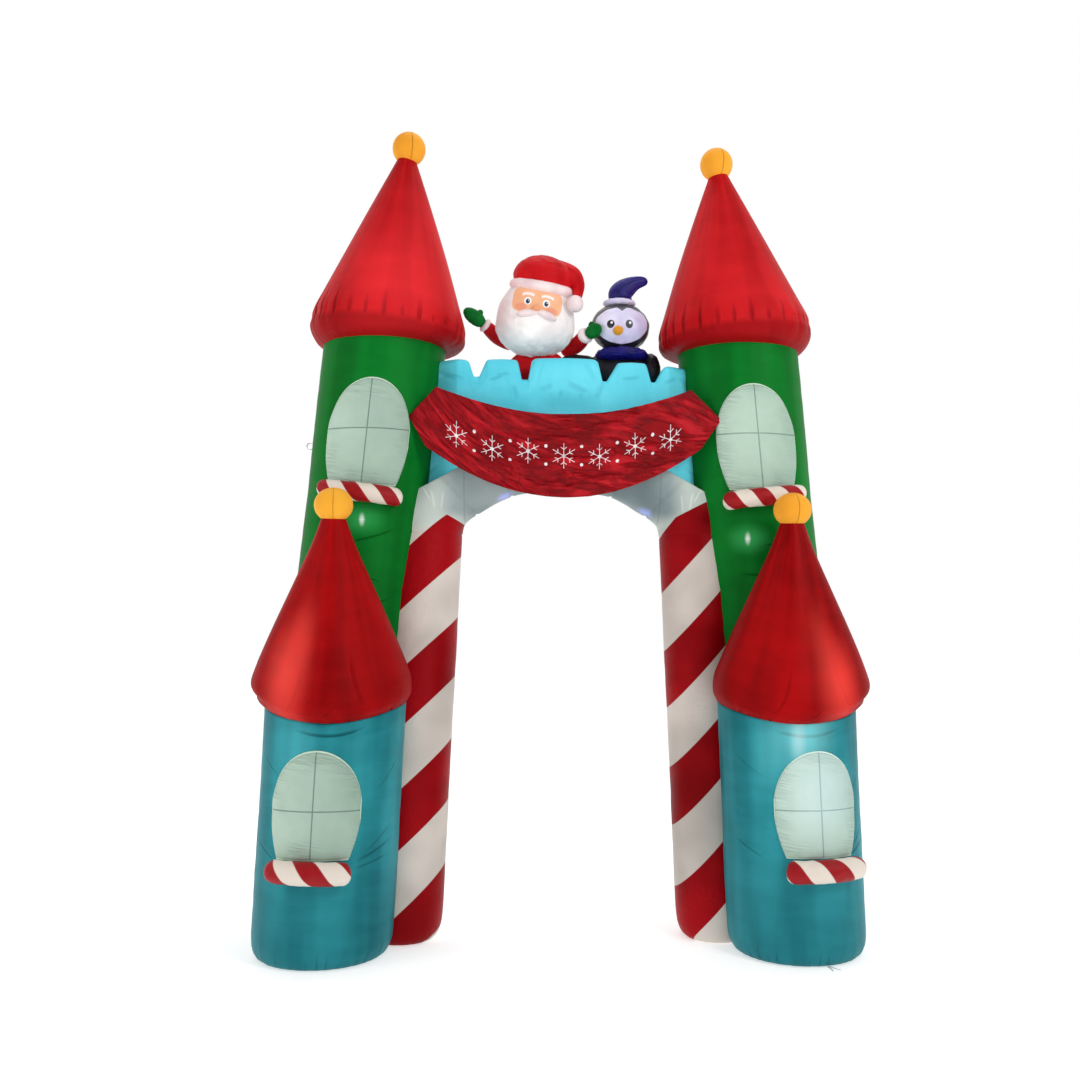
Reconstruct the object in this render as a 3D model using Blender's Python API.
# An inflatable walk-through arch: two candy-striped legs under an arch band, a tall tower and a
# front turret on each side, a battlement wall with a banner, and two winter figures behind it.
# Every sewn and air-filled piece is one closed solid. Metres, +Z up, front towards -Y.
import bpy
import bmesh
from math import cos, pi, radians, sin, sqrt
from mathutils import Matrix, Vector

# ---- driving dimensions ----
GAP = 0.0003                 # between faces that touch
TOWER_BACK = 0.189           # the tower axes stand this far behind the middle of the depth
ROOF_SEAM = 2.585            # height of the tower's roof seam
TURRET_TOP = 1.0             # height of the turret's roof seam at its axis
LEG_TOP = 1.752              # the striped leg ends here, and the arch band goes on
WALL_FRONT = -0.125
WALL_BACK = 0.17
CLOTH = 0.002                # a sewn-on panel or the banner

# The standing tubes. Axes are rows of height, distance out from the middle, place in depth;
# feet are rows of height and radius lost; levels are the other heights that carry a ring.
ROUND_AGAIN = 1.04           # above this the tower and leg no longer meet the turret
BAND_END = 1.945             # above this the tower is round beside the wall
TOWER = dict(paint="tower_green", radius=0.272, segments=40,
             axis=((0.0, 0.997, -0.075), (1.0, 0.944, -0.02), (1.5, 0.914, 0.0),
                   (BAND_END, 0.8646, 0.0), (ROOF_SEAM, 0.8055, 0.0)),
             foot=((0.0, 0.050), (0.02, 0.022), (0.08, 0.0)),
             levels=(0.5, ROUND_AGAIN, 1.15, 1.5, BAND_END, 2.06, ROOF_SEAM))
TURRET = dict(paint="turret_teal", radius=0.286, segments=36,
              axis=((0.0, 0.987, -0.35), (TURRET_TOP, 0.942, -0.35)),
              foot=((0.0, 0.036), (0.015, 0.019), (0.05, 0.005), (0.10, 0.0)),
              levels=(0.5, 0.86, TURRET_TOP))
LEG = dict(paint="candy_stripe", radius=0.174, segments=30,
           axis=((0.0, 0.686, -0.14), (LEG_TOP, 0.623, 0.02)),
           foot=((0.0, 0.040), (0.02, 0.020), (0.06, 0.006), (0.12, 0.0)),
           levels=(0.6, ROUND_AGAIN, 1.4, LEG_TOP))
TURRET_TILT = 0.13           # rise of the turret's top towards the back

# Roofs as rows of height, radius, out, depth, rise to the back, gather depth.
TURRET_ROOF = ((TURRET_TOP + GAP, 0.286, 0.942, -0.350, 0.13, 0.0),
               (1.030, 0.309, 0.948, -0.351, 0.16, 0.004),
               (1.075, 0.319, 0.960, -0.353, 0.19, 0.003),
               (1.120, 0.309, 0.962, -0.358, 0.18, 0.002),
               (1.300, 0.240, 0.960, -0.380, 0.15, 0.0),
               (1.500, 0.160, 0.956, -0.404, 0.10, 0.0),
               (1.680, 0.086, 0.953, -0.426, 0.05, 0.0),
               (1.774, 0.047, 0.952, -0.437, 0.0, 0.0))
# The tower roof's last two columns are the rise outwards and the gather depth.
TOWER_ROOF = ((ROOF_SEAM + GAP, 0.270, 0.8055, 0.0, 0.0, 0.0),
              (2.602, 0.312, 0.800, 0.0, 0.04, 0.004),
              (2.636, 0.340, 0.793, 0.0, 0.08, 0.009),
              (2.676, 0.350, 0.787, 0.0, 0.09, 0.004),
              (2.720, 0.340, 0.783, 0.0, 0.09, 0.009),
              (2.800, 0.309, 0.776, 0.0, 0.08, 0.003),
              (3.000, 0.230, 0.758, 0.0, 0.05, 0.0),
              (3.250, 0.128, 0.736, 0.0, 0.03, 0.0),
              (3.440, 0.042, 0.718, 0.0, 0.0, 0.0))
# What differs from side to side: name, sign, tower roof's tip height, and for the turret the
# turn of its window, all outwards.
SIDES = (("left", -1, 3.457, radians(4.0)), ("right", 1, 3.420, radians(11.0)))
TOWER_BALL = (0.075, 0.075)          # radius across, radius up
TURRET_BALL = (0.079, 0.072)

# Windows: height of the sill line, of the widest line and of the crown, half widths measured
# round the tower at the widest line and at the sill line.
TOWER_WINDOW = dict(sill=1.940, wide=2.150, crown=2.405, half=0.188, foot=0.145)
TURRET_WINDOW = dict(sill=0.432, wide=0.630, crown=0.856, half=0.181, foot=0.140)
# Sills: radius of the roll, height, half turn round the tower, rise outwards.
TOWER_SILL = dict(radius=0.040, height=1.907, half=radians(34), rise=0.12)
TURRET_SILL = dict(radius=0.045, height=0.398, half=radians(29), rise=0.09)

# Arch band: inner edge as rows of out, height and the turn of its section up from level.
BAND_INNER = ((0.449, LEG_TOP + GAP, 0.0), (0.432, 1.806, 28.0), (0.342, 1.871, 57.0),
              (0.231, 1.930, 71.0), (0.110, 1.951, 84.0))
BAND_DEPTH = 0.02            # middle of the band in depth
BAND_CROWN = 0.004           # the middle of its inner edge over the last row above
BAND_RAYS = 0.09             # depth inside the inner edge from which the sections are drawn
WALL_FOOT = ((0.667, 1.922), (0.350, 2.092))      # where wall and band meet: out, height

# Battlements as rows of left, right, top, and how far the front stands proud.
MERLONS = ((-0.640, -0.433, 2.529, 0.012), (-0.346, -0.202, 2.530, 0.016),
           (-0.137, 0.154, 2.537, 0.048), (0.244, 0.375, 2.524, 0.016),
           (0.458, 0.640, 2.513, 0.012))
NOTCHES = ((-0.403, -0.369, 2.438), (-0.186, -0.151, 2.438), (0.181, 0.205, 2.446),
           (0.395, 0.414, 2.427))
WALL_DRAWN = {"from": 0.47, "over": 0.13, "depth": 0.085}   # its front is drawn back to the towers
WALL_TOP = 2.446             # the walk behind the battlements, where the figures stand

# Banner: out and height of its ends, top and bottom edges.
BANNER = dict(front=-0.238, top_half=0.556, top_low=2.262, top_rise=0.118,
              tip_left=(-0.673, 2.242), tip_right=(0.690, 2.236),
              foot_half=0.600, foot_low=1.900, foot_rise=0.220)

# Colours: red, green, blue, roughness.
PAINT = dict(tower_green=(0.004, 0.16, 0.018, 0.42), roof_red=(0.55, 0.012, 0.016, 0.42),
             ball_gold=(0.85, 0.38, 0.03, 0.5), turret_teal=(0.02, 0.26, 0.30, 0.40),
             candy_stripe=(0.60, 0.57, 0.52, 0.45), band_white=(0.42, 0.47, 0.46, 0.45),
             wall_cyan=(0.10, 0.60, 0.72, 0.42), banner_red=(0.40, 0.010, 0.016, 0.5),
             window_pale=(0.58, 0.68, 0.60, 0.45), figure_white=(0.80, 0.78, 0.76, 0.6),
             figure_skin=(0.80, 0.38, 0.20, 0.5), figure_red=(0.48, 0.010, 0.016, 0.45),
             figure_green=(0.01, 0.14, 0.03, 0.5), penguin_black=(0.012, 0.012, 0.016, 0.4),
             penguin_pale=(0.60, 0.58, 0.72, 0.45), penguin_navy=(0.02, 0.01, 0.25, 0.45),
             penguin_gold=(0.80, 0.48, 0.12, 0.45), webbing_grey=(0.45, 0.47, 0.47, 0.7))


def clear_scene():
    for old in list(bpy.data.objects):
        bpy.data.objects.remove(old, do_unlink=True)


def material(name):
    red, green, blue, roughness = PAINT[name]
    cloth = bpy.data.materials.get(name) or bpy.data.materials.new(name)
    cloth.use_nodes = True
    shader = cloth.node_tree.nodes["Principled BSDF"]
    shader.inputs["Base Color"].default_value = (red, green, blue, 1.0)
    shader.inputs["Roughness"].default_value = roughness
    shader.inputs["Metallic"].default_value = 0.0
    return cloth


def finish(name, mesh_maker, paint, origin):
    # One named object from a bmesh made in the tower frame, with its own origin.
    bmesh.ops.recalc_face_normals(mesh_maker, faces=mesh_maker.faces)
    bmesh.ops.translate(mesh_maker, verts=mesh_maker.verts, vec=-Vector(origin))
    mesh = bpy.data.meshes.new(name)
    mesh_maker.to_mesh(mesh)
    mesh_maker.free()
    mesh.materials.append(material(paint))
    mesh.shade_smooth()
    mesh.set_sharp_from_angle(angle=radians(50))
    piece = bpy.data.objects.new(name, mesh)
    bpy.context.collection.objects.link(piece)
    piece.location = origin
    piece.parent = bpy.data.objects["arch_frame"]
    return piece


def skin(rings):
    # A closed body through rings of equal count; each end is a fan about its own middle.
    body = bmesh.new()
    loops = [[body.verts.new(point) for point in ring] for ring in rings]
    for low, high in zip(loops, loops[1:]):
        for i in range(len(low)):
            j = (i + 1) % len(low)
            body.faces.new((low[i], low[j], high[j], high[i]))
    for loop in (loops[0], loops[-1]):
        hub = body.verts.new(sum((vert.co for vert in loop), Vector()) / len(loop))
        for i in range(len(loop)):
            body.faces.new((loop[i], loop[(i + 1) % len(loop)], hub))
    return body


def sheet_body(back, front):
    # A closed thin sheet between two grids of points, each a list of columns.
    body = bmesh.new()
    grids = [[[body.verts.new(point) for point in column] for column in grid]
             for grid in (back, front)]
    columns, levels = len(back) - 1, len(back[0]) - 1
    for grid in grids:
        for left, right in zip(grid, grid[1:]):
            for k in range(levels):
                body.faces.new((left[k], right[k], right[k + 1], left[k + 1]))
    rim = [(i, 0) for i in range(columns)] + [(columns, k) for k in range(levels)]
    rim += [(i, levels) for i in range(columns, 0, -1)] + [(0, k) for k in range(levels, 0, -1)]
    for (i, k), (m, n) in zip(rim, rim[1:] + rim[:1]):
        body.faces.new((grids[0][i][k], grids[0][m][n], grids[1][m][n], grids[1][i][k]))
    return body


# ---- axes, rays and the limits that keep neighbours apart ----
def along(rows, height):
    # Reads a table of rows at a height, straight between rows and onwards past its ends.
    for low, high in zip(rows, rows[1:]):
        if height <= high[0] or high is rows[-1]:
            share = (height - low[0]) / (high[0] - low[0])
            return [a + (b - a) * share for a, b in zip(low[1:], high[1:])]


def axis_point(rows, side, height):
    out, depth = along(rows, height)
    return Vector((side * out, depth, height))


def held_by(point, normal, gap=GAP / 2):
    # A flat seam: rays stop short of the plane whose normal points away from the piece.
    def limit(start, ray, reach):
        towards = ray.dot(normal)
        if towards < 1e-9:
            return reach
        return min(reach, ((point - start).dot(normal) - gap) / towards)
    return limit


def seam_between(first, second, side, low, high):
    # The upright plane through two tubes' shared chord at two heights: a point on it, and its
    # normal from the first tube to the second.
    points, turn = [], Vector()
    for height in (low, high):
        start = axis_point(first["axis"], side, height)
        step = axis_point(second["axis"], side, height) - start
        excess = first["radius"] ** 2 - second["radius"] ** 2
        share = (step.length_squared + excess) / (2 * step.length_squared)
        points.append(start + step * share)
        turn += step.normalized()
    level = Vector((-turn.y, turn.x, 0)).normalized()
    normal = level.cross(points[1] - points[0]).normalized()
    return points[0], normal if normal.dot(turn) > 0 else -normal


def round_ring(start, radius, segments, limits, rise=(0.0, 0.0)):
    # A ring of rays about start; radius is a number or a function of the angle, and rise lifts
    # the ring per metre along +X and +Y.
    points = []
    for i in range(segments):
        angle = 2 * pi * i / segments
        across, back = cos(angle), sin(angle)
        ray = Vector((across, back, rise[0] * across + rise[1] * back))
        reach = radius(angle) if callable(radius) else radius
        for limit in limits:
            reach = limit(start, ray, reach)
        points.append(start + ray * reach)
    return points


def crown(radii, rising):
    # The upright radius of a form: the fourth one, where given, is for its upper half.
    return radii[3] if rising and len(radii) > 3 else radii[2]


def blob(name, paint, centre, radii, limits=(), turn=Matrix(), segments=20, rings=12):
    # A crowned closed form: an ellipsoid whose rays from the centre stop at the limits.
    centre = Vector(centre)
    body = bmesh.new()
    bmesh.ops.create_uvsphere(body, u_segments=segments, v_segments=rings, radius=1.0)
    for vert in body.verts:
        local = vert.co.normalized()
        shape = (radii[0], radii[1], crown(radii, local.z > 0))
        reach = 1 / sqrt(sum((c / r) ** 2 for c, r in zip(local, shape)))
        ray = (turn @ local).normalized()
        for limit in limits:
            reach = limit(centre, ray, reach)
        vert.co = centre + ray * reach
    return finish(name, body, paint, centre)


def hose(name, paint, points, radii, segments=12, squash=1.0):
    # A round or flattened tube whose rings stand square to its path.
    path = [Vector(point) for point in points]
    rings = []
    for i, (point, radius) in enumerate(zip(path, radii)):
        ahead = (path[min(i + 1, len(path) - 1)] - path[max(i - 1, 0)]).normalized()
        across = ahead.cross(Vector((0, 1, 0))).normalized()
        deep = across.cross(ahead)
        rings.append([point + across * radius * cos(2 * pi * k / segments)
                      + deep * radius * squash * sin(2 * pi * k / segments)
                      for k in range(segments)])
    return finish(name, skin(rings), paint, path[0])


def apply_boolean(piece, other, operation):
    # Fuses another closed piece into this one, or cuts it away, and removes it.
    change = piece.modifiers.new(operation, "BOOLEAN")
    change.operation = operation
    change.solver = "EXACT"
    change.object = other
    bpy.context.view_layer.update()
    result = bpy.data.meshes.new_from_object(piece.evaluated_get(
        bpy.context.evaluated_depsgraph_get()))
    piece.modifiers.clear()
    piece.data = result
    bpy.data.objects.remove(other, do_unlink=True)


# ---- towers, turrets, legs ----
def upright(label, tube, side, seams, top_rise=0.0):
    # A standing air-filled tube: flat foot, rounded hem, straight sides, level or tilted top.
    # seams are rows of a limit and the height up to which it holds.
    rings = []
    foot = tube["foot"]
    for height in sorted({row[0] for row in foot} | set(tube["levels"])):
        lost = along(foot, height)[0] if height < foot[-1][0] else 0.0
        rise = (0.0, top_rise) if height == max(tube["levels"]) else (0.0, 0.0)
        limits = [limit for limit, end in seams if height <= end]
        rings.append(round_ring(axis_point(tube["axis"], side, height), tube["radius"] - lost,
                                tube["segments"], limits, rise))
    return finish(label, skin(rings), tube["paint"], axis_point(tube["axis"], side, 0.0))


def room_for(tube, side):
    # A full round tube just larger than a standing one, to cut its room out of a neighbour.
    rings = [round_ring(axis_point(tube["axis"], side, height), tube["radius"] + 2 * GAP,
                        tube["segments"], ()) for height in tube["levels"]]
    return finish("room", skin(rings), tube["paint"], (0, 0, 0))


def uprights(label, side):
    tower_leg = seam_between(TOWER, LEG, side, 0.2, 1.7)
    tower_turret = seam_between(TOWER, TURRET, side, 0.2, 0.9)
    turret_leg = seam_between(TURRET, LEG, side, 0.2, 0.9)

    def near(seam):
        return held_by(seam[0], seam[1])

    def far(seam):
        return held_by(seam[0], -seam[1])

    upright(f"tower_{label}", TOWER, side,
            ((near(tower_leg), BAND_END), (near(tower_turret), ROUND_AGAIN)))
    upright(f"turret_{label}", TURRET, side,
            ((far(tower_turret), TURRET_TOP), (near(turret_leg), TURRET_TOP)), TURRET_TILT)
    upright(f"leg_{label}", LEG, side,
            ((far(tower_leg), LEG_TOP), (far(turret_leg), ROUND_AGAIN)))
    return tower_leg


# ---- roofs and balls ----
def gathered(radius, depth, count, phase):
    # A rim drawn in by its seam: soft gathers round the ring, uneven in depth.
    def reach(angle):
        uneven = 0.6 + 0.4 * sin(3 * angle + phase)
        return radius - depth * uneven * (0.5 + 0.5 * cos(count * angle + phase))
    return reach


def tower_roof(label, side, tip_height):
    stretch = (tip_height - TOWER_ROOF[3][0]) / (TOWER_ROOF[-1][0] - TOWER_ROOF[3][0])
    rings = []
    for height, radius, out, depth, rise, gather in TOWER_ROOF:
        if height > TOWER_ROOF[3][0]:
            height = TOWER_ROOF[3][0] + (height - TOWER_ROOF[3][0]) * stretch
        rings.append(round_ring(Vector((side * out, depth, height)),
                                gathered(radius, gather, 16, side), 48, (), (side * rise, 0.0)))
    finish(f"tower_roof_{label}", skin(rings), "roof_red",
           (side * TOWER_ROOF[0][2], 0, ROOF_SEAM))


def turret_roof(label, side):
    rings = [round_ring(Vector((side * out, depth, height)), gathered(radius, gather, 12, side),
                        48, (), (side * rise * 0.3, rise))
             for height, radius, out, depth, rise, gather in TURRET_ROOF]
    for point in rings[0]:
        point.z = TURRET_TOP + GAP + TURRET_TILT * (point.y - TURRET["axis"][1][2])
    roof = finish(f"turret_roof_{label}", skin(rings), "roof_red",
                  (side * TURRET_ROOF[0][2], TURRET_ROOF[0][3], TURRET_TOP))
    apply_boolean(roof, room_for(TOWER, side), "DIFFERENCE")
    apply_boolean(roof, room_for(LEG, side), "DIFFERENCE")


def ball(name, centre, radii, neck_height):
    # A padded ball sitting on its roof's neck, where it is cut level.
    across, up = radii
    seat = held_by(Vector((0, 0, neck_height)), Vector((0, 0, -1)), GAP)
    blob(name, "ball_gold", centre, (across, across, up), (seat,), segments=18, rings=10)


def roofs(label, side, tip_height):
    tower_roof(label, side, tip_height)
    ball(f"tower_ball_{label}", (side * 0.708, 0, tip_height + 0.062), TOWER_BALL, tip_height)
    turret_roof(label, side)
    ball(f"turret_ball_{label}", (side * 0.951, -0.442, 1.836), TURRET_BALL, TURRET_ROOF[-1][0])


# ---- windows and their candy sills ----
def on_tube(rows, side, radius, height, turn):
    # A point on a tube's front, turned outwards about its axis.
    centre = axis_point(rows, side, height)
    return centre + Vector((side * sin(turn), -cos(turn), 0)) * radius


def window(name, tube, side, size, turn):
    # An egg-arched pale panel, sewn flat on the tube: columns run from its foot to its crown.
    columns, levels = 10, 3
    rows, radius = tube["axis"], tube["radius"]
    half, foot = size["half"], size["foot"]
    skins = {0.001: [], 0.001 + CLOTH: []}
    for i in range(columns + 1):
        place = half * 0.985 * (2 * i / columns - 1)
        top = size["wide"] + (size["crown"] - size["wide"]) * sqrt(1 - (place / half) ** 2)
        share = max(0.0, (half - abs(place)) / (half - foot))
        low = size["wide"] - (size["wide"] - size["sill"]) * min(1.0, sqrt(share))
        for lift, grid in skins.items():
            grid.append([on_tube(rows, side, radius + lift, low + (top - low) * k / levels,
                                 turn + place / radius) for k in range(levels + 1)])
    finish(name, sheet_body(*skins.values()), "window_pale", on_tube(rows, side, radius, size["wide"], turn))


def sill(name, tube, side, size, turn):
    # A stuffed roll following the tube under the window, with rounded ends.
    stations = ((-1.0, 0.45), (-0.97, 0.80), (-0.88, 1.0), (-0.6, 1.0), (-0.3, 1.0), (0.0, 1.0),
                (0.3, 1.0), (0.6, 1.0), (0.88, 1.0), (0.97, 0.80), (1.0, 0.45))
    rows, radius = tube["axis"], tube["radius"]
    roll = size["radius"]
    rings = []
    for place, swell in stations:
        angle = turn + place * size["half"]
        height = size["height"] + size["rise"] * place * size["half"] * radius
        middle = on_tube(rows, side, radius + roll + 0.0012, height, angle)
        away = (middle - axis_point(rows, side, height)).normalized()
        rings.append([middle + (away * cos(2 * pi * k / 10) + Vector((0, 0, 1))
                                * sin(2 * pi * k / 10)) * roll * swell for k in range(10)])
    finish(name, skin(rings), "candy_stripe", sum(rings[5], Vector()) / 10)


def openings_trim(label, side, turret_turn):
    window(f"tower_window_{label}", TOWER, side, TOWER_WINDOW, 0.0)
    sill(f"tower_sill_{label}", TOWER, side, TOWER_SILL, 0.0)
    window(f"turret_window_{label}", TURRET, side, TURRET_WINDOW, turret_turn)
    sill(f"turret_sill_{label}", TURRET, side, TURRET_SILL, turret_turn)


# ---- arch band and battlement wall ----
def wall_foot(out):
    (far, low), (near, high) = WALL_FOOT
    return high if abs(out) <= near else high + (low - high) * (abs(out) - near) / (far - near)


def foot_planes():
    # The three planes along which the wall sits on the band.
    (far, low), (near, high) = WALL_FOOT
    slope = Vector((high - low, 0, far - near)).normalized()
    planes = [(Vector((0, 0, high)), Vector((0, 0, 1)))]
    for side in (-1, 1):
        planes.append((Vector((side * near, 0, high)), Vector((side * slope.x, 0, slope.z))))
    return planes


def band_section(out, height, turn, limits):
    # A round section square to the band, cut back wherever a neighbour stands in its way.
    away = Vector((cos(turn), 0, sin(turn)))
    start = Vector((out, BAND_DEPTH, height)) + away * BAND_RAYS
    ahead = LEG["radius"] - BAND_RAYS         # from the rays' start to the circle's centre
    ring = []
    for k in range(24):
        angle = 2 * pi * k / 24
        ray = away * cos(angle) + Vector((0, 1, 0)) * sin(angle)
        reach = ahead * cos(angle) + sqrt(LEG["radius"] ** 2 - (ahead * sin(angle)) ** 2)
        for limit in limits:
            reach = limit(start, ray, reach)
        ring.append(start + ray * reach)
    return ring


def arch_band(tower_legs):
    # A round tube over the walkway, sewn to a short corner tube at each end; sections fan round.
    limits = [held_by(point, normal) for point, normal in foot_planes()]
    limits += [held_by(point, -normal) for point, normal in tower_legs]
    right = [(out, height, radians(turn)) for out, height, turn in BAND_INNER]
    crown = [(out, height, turn) for out, height, turn in right[1:]]
    out, height, turn = crown[0]
    crown[0] = (out - GAP * sin(turn), height + GAP * cos(turn), turn)
    over = [(-out, height, pi - turn) for out, height, turn in crown]
    over += [(0.0, crown[-1][1] + BAND_CROWN, pi / 2)] + crown[::-1]
    finish("arch_band", skin([band_section(*row, limits) for row in over]), "band_white",
           (0, BAND_DEPTH, crown[-1][1]))
    for label, side in (("left", -1), ("right", 1)):
        rows = [(side * out, height, turn if side > 0 else pi - turn)
                for out, height, turn in right[:2]]
        finish(f"arch_corner_{label}", skin([band_section(*row, limits) for row in rows]),
               "band_white", (side * right[0][0], BAND_DEPTH, right[0][1]))


def battlement_stations():
    # Rows of place, top height, how proud the front is, and whether a merlon stands here.
    rows = []
    for left, right, top, proud in MERLONS:
        for place, drop, share in ((left, 0.014, 0.4), (left + 0.022, 0.0, 0.85),
                                   ((left + right) / 2, -0.002, 1.0),
                                   (right - 0.022, 0.0, 0.85), (right, 0.014, 0.4)):
            rows.append((place, top - drop, proud * share, True))
    for left, right, floor in NOTCHES:
        rows += [(left, floor, 0.0, False), (right, floor, 0.0, False)]
    return sorted(rows)


def battlement_wall():
    rings = []
    rows = battlement_stations()
    for place, top, proud, merlon in rows:
        drawn = min(1.0, max(0.0, (abs(place) - WALL_DRAWN["from"]) / WALL_DRAWN["over"]))
        sheet = WALL_FRONT + WALL_DRAWN["depth"] * drawn
        front = sheet - proud
        foot = wall_foot(place) + GAP
        walk = WALL_TOP
        crest = top if merlon else min(top, walk - 0.002)
        outline = [(sheet + 0.035, foot), (sheet + 0.003, foot + 0.03),
                   (sheet - 0.012 - 0.3 * proud, foot * 0.55 + 2.40 * 0.45),
                   (front, 2.37), (front + 0.004, min(2.43, crest - 0.006)),
                   (front + 0.008, crest - 0.004), (front + 0.028, crest),
                   (front * 0.45 + 0.45 * sheet + 0.05, crest),
                   (-0.012, crest - 0.006), (-0.004, min(walk, crest)),
                   (0.07, walk), (WALL_BACK - 0.03, walk - 0.01), (WALL_BACK, walk - 0.05),
                   (WALL_BACK + 0.012, 2.25), (WALL_BACK, foot + 0.04), (WALL_BACK - 0.03, foot),
                   (0.03, foot)]
        rings.append([Vector((place, depth, height)) for depth, height in outline])
    wall = finish("battlement_wall", skin(rings), "wall_cyan", (0, 0, WALL_FOOT[1][1]))
    for side in (-1, 1):
        apply_boolean(wall, room_for(TOWER, side), "DIFFERENCE")


# ---- banner ----
def banner_point(u, v):
    # u runs from -1 to 1 along the banner and v from 0 at its top to 1 at its foot.
    size = BANNER
    tip = size["tip_left"] if u < 0 else size["tip_right"]
    if v <= 0.5:
        half = size["top_half"] + (abs(tip[0]) - size["top_half"]) * v / 0.5
    else:
        half = abs(tip[0]) + (size["foot_half"] - abs(tip[0])) * (v - 0.5) / 0.5
    out = u * half
    top = size["top_low"] + size["top_rise"] * u ** 2
    foot = size["foot_low"] + size["foot_rise"] * u ** 2
    height = top + (foot - top) * v
    # Soft level folds, deepest where the cloth is slack, die out at the sewn ends.
    slack = 1 - abs(u) ** 3
    fold = 0.5 + 0.5 * sin(2 * pi * (3.3 * v + 0.5 * sin(2.4 * u + 0.6)))
    fold = 0.010 * slack * fold + 0.006 * slack * (0.5 + 0.5 * sin(9 * u - 5 * v + 1.1))
    depth = size["front"] + 0.004 - fold
    return Vector((out, depth, height))


def tower_front(out, height):
    # The tower's front surface behind a point of the banner, or None beside it.
    side = -1 if out < 0 else 1
    centre = axis_point(TOWER["axis"], side, height)
    across = abs(out - centre.x)
    radius = TOWER["radius"]
    return centre.y - sqrt(radius ** 2 - across ** 2) if across < radius else None


def banner():
    columns, rows = 30, 10
    grids = {}
    for name, lift in (("back", 0.0), ("front", CLOTH)):
        grid = []
        for i in range(columns + 1):
            column = []
            for k in range(rows + 1):
                point = banner_point(2 * i / columns - 1, k / rows)
                ends = max(0.0, (abs(2 * i / columns - 1) - 0.80) / 0.20)
                tip = BANNER["tip_left"] if i * 2 < columns else BANNER["tip_right"]
                # The left end lies on its tower, the right end on its tower's window.
                off = 0.0008 if i * 2 < columns else 0.0014 + CLOTH
                seat = tower_front(*tip) - off
                point.y += (seat - point.y) * ends ** 2
                behind = tower_front(point.x, point.z)
                if behind is not None:
                    point.y = min(point.y, behind - off)
                point.y -= lift
                column.append(point)
            grid.append(column)
        grids[name] = grid
    finish("banner", sheet_body(grids["back"], grids["front"]), "banner_red",
           (0, BANNER["front"], BANNER["top_low"]))


# ---- the two figures on the walk behind the battlements ----
def level_cut(height, up, gap=0.0):
    # A level seam at a height: the piece lies above it when up is 1, below it when up is -1.
    return held_by(Vector((0, 0, height)), Vector((0, 0, -up)), gap)


def face_panel(name, paint, centre, radii, half_turns, top, low, columns, levels, stand_off):
    # A thin panel on the front of a crowned head: columns of longitude between two latitudes.
    skins = []
    for lift in (stand_off, stand_off + CLOTH):
        grid = []
        for i in range(columns + 1):
            turn = half_turns[0] + (half_turns[1] - half_turns[0]) * i / columns
            share = 2 * i / columns - 1
            column = []
            for k in range(levels + 1):
                tilt = low(share) + (top(share) - low(share)) * k / levels
                column.append(Vector((centre.x + (radii[0] + lift) * cos(tilt) * sin(turn),
                                      centre.y - (radii[1] + lift) * cos(tilt) * cos(turn),
                                      centre.z + (crown(radii, tilt > 0) + lift) * sin(tilt))))
            grid.append(column)
        skins.append(grid)
    finish(name, sheet_body(skins[0], skins[1]), paint, centre)


def arm(label, path, radii, cuff_length, hand_way, hand_length):
    # Sleeve, fur cuff and mitten in a row, each against a plane square to the arm.
    hose(f"bearded_sleeve_{label}", "figure_red", path, radii, 12)
    end, before = Vector(path[-1]), Vector(path[-2])
    ahead = (end - before).normalized()
    swell = radii[-1] + 0.006
    hose(f"bearded_cuff_{label}", "figure_white",
         [end + ahead * cuff_length * share for share in (0.02, 0.3, 0.7, 1.0)],
         [swell - 0.004, swell, swell, swell - 0.004], 12)
    wrist = end + ahead * cuff_length
    limit = held_by(wrist, -ahead, GAP)
    way = Vector(hand_way).normalized()
    turn = way.to_track_quat("X", "Z").to_matrix().to_4x4()
    hand = blob(f"bearded_mitten_{label}", "figure_green", wrist + way * hand_length * 0.5,
                (hand_length * 0.56, 0.024, 0.033), (limit,), turn, 14, 9)
    up = (turn @ Vector((0.30, 0, 0.95))).normalized()
    thumb = blob("thumb", "figure_green", wrist + way * hand_length * 0.36 + up * 0.027,
                 (0.016, 0.014, 0.022), (limit,), turn, 10, 7)
    apply_boolean(hand, thumb, "UNION")


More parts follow.
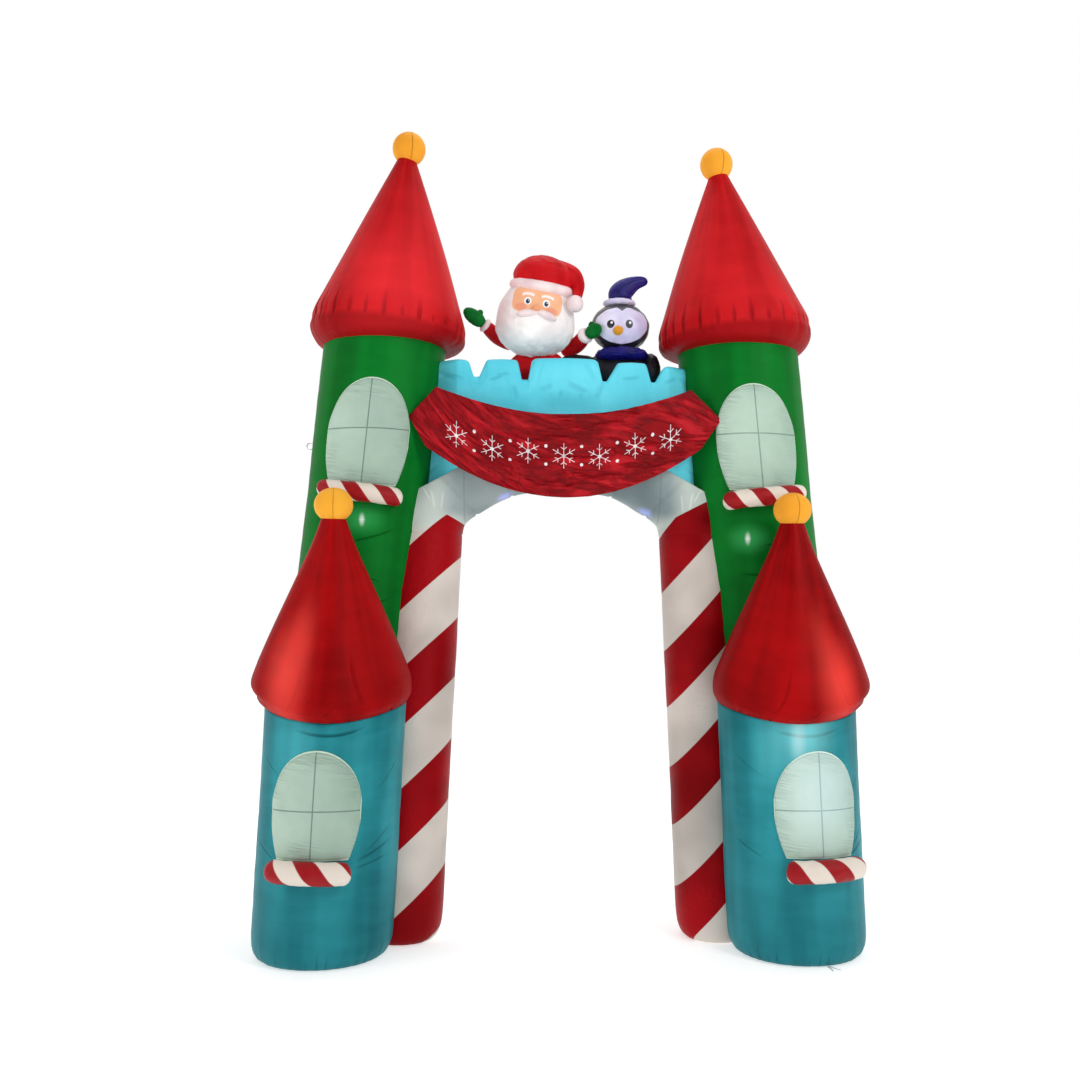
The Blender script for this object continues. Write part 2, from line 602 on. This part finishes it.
def bearded_figure():
    head, radii = Vector((-0.125, 0.03, 2.720)), (0.182, 0.140, 0.142, 0.240)
    lean = Matrix.Rotation(radians(9), 4, "Y") @ Matrix.Rotation(radians(10), 4, "X")
    up = lean @ Vector((0, 0, 1))
    brim_foot = Vector((-0.100, 0.03, 2.868))
    brim_top = brim_foot + up * 0.050
    tail_side = Vector((0.035, 0, 0))
    neck = Vector((0, 0.53, -1)).normalized()
    neck_point = Vector((0, 0, 2.577))
    left_path = ((-0.272, 0.120, 2.602), (-0.314, 0.092, 2.664), (-0.345, 0.062, 2.706))
    right_path = ((0.022, 0.120, 2.596), (0.080, 0.070, 2.630), (0.106, 0.008, 2.650))

    def shoulder(path):
        start, ahead = Vector(path[0]), (Vector(path[1]) - Vector(path[0])).normalized()
        return held_by(start, ahead, GAP)

    blob("bearded_coat", "figure_red", (-0.135, 0.090, 2.53), (0.190, 0.088, 0.130),
         (level_cut(WALL_TOP, 1, GAP), held_by(Vector((0, -0.003, 0)), Vector((0, -1, 0))),
          held_by(neck_point, -neck), shoulder(left_path), shoulder(right_path)))
    blob("bearded_head", "figure_white", head, radii,
         (held_by(neck_point, neck), held_by(brim_foot, up)), segments=26, rings=16)
    face_panel("bearded_face", "figure_skin", head, radii, (radians(-38), radians(43)),
               lambda share: radians(30.0 - 3.2 * share - 5 * share ** 8),
               lambda share: radians(2.5 - 1.5 * share + 6 * share ** 4), 10, 4, 0.0010)
    blob("bearded_cap_brim", "figure_white", (brim_foot + brim_top) / 2, (0.142, 0.130, 0.080),
         (held_by(brim_foot, -up), held_by(brim_top, up), held_by(tail_side, Vector((1, 0, 0)))),
         lean, 24, 10)
    dome = blob("bearded_cap", "figure_red", brim_top + up * 0.02, (0.139, 0.126, 0.104),
                (held_by(brim_top, -up),), lean, 22, 12)
    tail_path = ((-0.02, 0.03, 2.970), (0.042, 0.020, 2.958), (0.072, 0.002, 2.910),
                 (0.073, -0.020, 2.860), (0.062, -0.046, 2.824))
    apply_boolean(dome, hose("tail", "figure_red", tail_path,
                             (0.060, 0.048, 0.028, 0.023, 0.018), 12), "UNION")
    tail_end = Vector(tail_path[-1])
    tail_way = (tail_end - Vector(tail_path[-2])).normalized()
    blob("bearded_pompom", "figure_white", tail_end + tail_way * 0.030, (0.037, 0.037, 0.037),
         (held_by(tail_end, -tail_way, GAP),), segments=14, rings=9)
    arm("left", left_path, (0.036, 0.034, 0.029), 0.014, (-0.78, -0.15, 0.60), 0.090)
    arm("right", right_path, (0.038, 0.036, 0.031), 0.022, (0.74, -0.62, 0.24), 0.080)


def penguin():
    head, radii = Vector((0.268, 0.04, 2.72)), (0.134, 0.110, 0.112)
    band_foot, band_top = 2.8205, 2.8420
    scarf_foot, scarf_top = 2.5660, 2.6175
    panel_back = 0.0019          # the face panel's back stands this far off the head
    wing_seam, flank_seam = Vector((0.402, 0, 0)), Vector((0.150, 0, 0))
    outwards = Vector((1, 0, 0))
    blob("penguin_body", "penguin_black", (0.275, 0.085, 2.52), (0.160, 0.084, 0.120),
         (level_cut(WALL_TOP, 1, GAP), level_cut(scarf_foot, -1),
          held_by(Vector((0, -0.003, 0)), Vector((0, -1, 0))),
          held_by(wing_seam, outwards, GAP), held_by(flank_seam, -outwards, GAP)))
    blob("penguin_wing_right", "penguin_black", (0.410, 0.065, 2.530), (0.049, 0.050, 0.078),
         (held_by(wing_seam, -outwards, 0.0), level_cut(WALL_TOP, 1, GAP)),
         segments=14, rings=10)
    blob("penguin_wing_left", "penguin_black", (0.122, 0.122, 2.550), (0.046, 0.030, 0.056),
         (held_by(flank_seam, outwards, 0.0),), segments=14, rings=10)
    blob("penguin_scarf", "penguin_navy", (0.275, 0.035, (scarf_foot + scarf_top) / 2),
         (0.130, 0.102, 0.048), (level_cut(scarf_foot, 1, GAP), level_cut(scarf_top, -1)),
         segments=24, rings=10)
    blob("penguin_head", "penguin_black", head, radii,
         (level_cut(scarf_top, 1, GAP), level_cut(band_foot, -1)), segments=26, rings=16)
    face_panel("penguin_face", "penguin_pale", head, radii, (radians(-63), radians(63)),
               lambda share: radians(4 + 38 * sqrt(1 - 0.97 * share ** 2)
                                     - 13 * max(0.0, 1 - abs(share) * 5)),
               lambda share: radians(2 - 56 * sqrt(1 - 0.97 * share ** 2)), 16, 7, panel_back)
    beak_tilt = radians(-33)
    beak_way = Vector((-0.10, -cos(beak_tilt), sin(beak_tilt))).normalized()
    on_face = head + Vector((-0.018, -radii[1] * cos(beak_tilt), radii[2] * sin(beak_tilt)))
    seat = on_face + beak_way * (panel_back + CLOTH / 2)
    blob("penguin_beak", "penguin_gold", seat + beak_way * 0.004, (0.023, 0.022, 0.026),
         (held_by(seat, -beak_way, 0.0),), segments=12, rings=8)
    blob("penguin_hat_band", "figure_white", (0.262, 0.03, (band_foot + band_top) / 2),
         (0.074, 0.066, 0.022), (level_cut(band_foot, 1, GAP), level_cut(band_top, -1)),
         segments=20, rings=8)
    hose("penguin_hat", "penguin_navy",
         ((0.262, 0.03, band_top + GAP), (0.262, 0.03, 2.856), (0.276, 0.03, 2.888),
          (0.308, 0.03, 2.914), (0.340, 0.03, 2.930), (0.368, 0.03, 2.936), (0.384, 0.03, 2.936),
          (0.393, 0.03, 2.936)),
         (0.062, 0.060, 0.052, 0.042, 0.031, 0.024, 0.017, 0.006), 14, squash=0.9)


# ---- webbing ----
def tether_loop():
    # A short strap sewn into a ring on the tower's outer side, its eye facing the front.
    height, ring_radius, width, thick = 2.145, 0.016, 0.012, 0.002
    centre = axis_point(TOWER["axis"], -1, height)
    centre.x -= TOWER["radius"] + ring_radius + 2 * GAP
    strap = bmesh.new()
    corners = [strap.verts.new(centre + Vector((ring_radius - thick * across, width * back, 0)))
               for across, back in ((0, -0.5), (1, -0.5), (1, 0.5), (0, 0.5))]
    edges = [strap.edges.new(pair) for pair in zip(corners, corners[1:] + corners[:1])]
    bmesh.ops.spin(strap, geom=edges + corners, cent=centre, axis=(0, 1, 0),
                   angle=2 * pi, steps=20, use_merge=True, use_duplicate=False)
    finish("tether_loop", strap, "webbing_grey", centre)


def foot_tie():
    # Two free ends of thin tape lying on the floor from the right turret's hem.
    width, thick = 0.0045, 0.0012
    hem = axis_point(TURRET["axis"], 1, 0.0)
    outward = Vector((0.26, -0.965, 0)).normalized()
    beside = Vector((-outward.y, outward.x, 0))
    root = hem + outward * (TURRET["radius"] - along(TURRET["foot"], thick)[0] + GAP)
    ends = []
    for lean in (-0.20, 0.38):
        way = (outward + beside * lean).normalized()
        across = Vector((-way.y, way.x, 0)) * width / 2
        ends.append((root + way * 0.062 - across, root + way * 0.062 + across))
    tape = bmesh.new()
    outline = (root - beside * 0.006, ends[0][0], ends[0][1], root + outward * 0.016 + beside * 0.001,
               ends[1][0], ends[1][1], root + beside * 0.006)
    face = tape.faces.new([tape.verts.new(point) for point in outline])
    raised = bmesh.ops.extrude_face_region(tape, geom=[face])
    bmesh.ops.translate(tape, vec=(0, 0, thick), verts=[part for part in raised["geom"]
                                                        if isinstance(part, bmesh.types.BMVert)])
    finish("foot_tie", tape, "webbing_grey", root)


def main():
    clear_scene()
    frame = bpy.data.objects.new("arch_frame", None)
    bpy.context.collection.objects.link(frame)
    frame.location = (0, TOWER_BACK, 0)
    seams = []
    for label, side, tip_height, turret_turn in SIDES:
        seams.append(uprights(label, side))
        roofs(label, side, tip_height)
        openings_trim(label, side, turret_turn)
    arch_band(seams)
    battlement_wall()
    banner()
    bearded_figure()
    penguin()
    tether_loop()
    foot_tie()


main()
